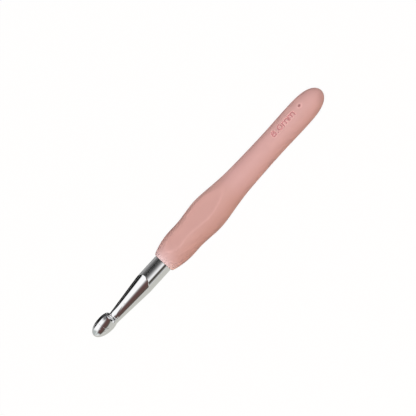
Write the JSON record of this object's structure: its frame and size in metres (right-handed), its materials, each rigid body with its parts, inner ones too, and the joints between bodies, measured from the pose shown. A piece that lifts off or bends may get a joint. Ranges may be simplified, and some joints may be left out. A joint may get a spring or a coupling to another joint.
{
  "type": "crochet hook",
  "caption": "Crochet hook with a round metal shank, a tapered neck, a deep throat and a rounded catching head, held by a soft contoured grip with flat thumb and finger rests.",
  "frame": {"origin": "on the axis of the shank, where the metal leaves the front end of the grip", "axes": "+X along the tool towards the tip, +Z out of the hook's mouth and out of the thumb rest, +Y sideways"},
  "size_m": [0.1326, 0.015, 0.0128],
  "materials": {
    "polished_metal": "polished",
    "core_plastic": "as moulded",
    "soft_skin": "soft matte"
  },
  "bodies": {
    "root": {"hook_shank": "polished_metal", "handle_core": "core_plastic", "soft_grip": "soft_skin"}
  },
  "joints": []
}
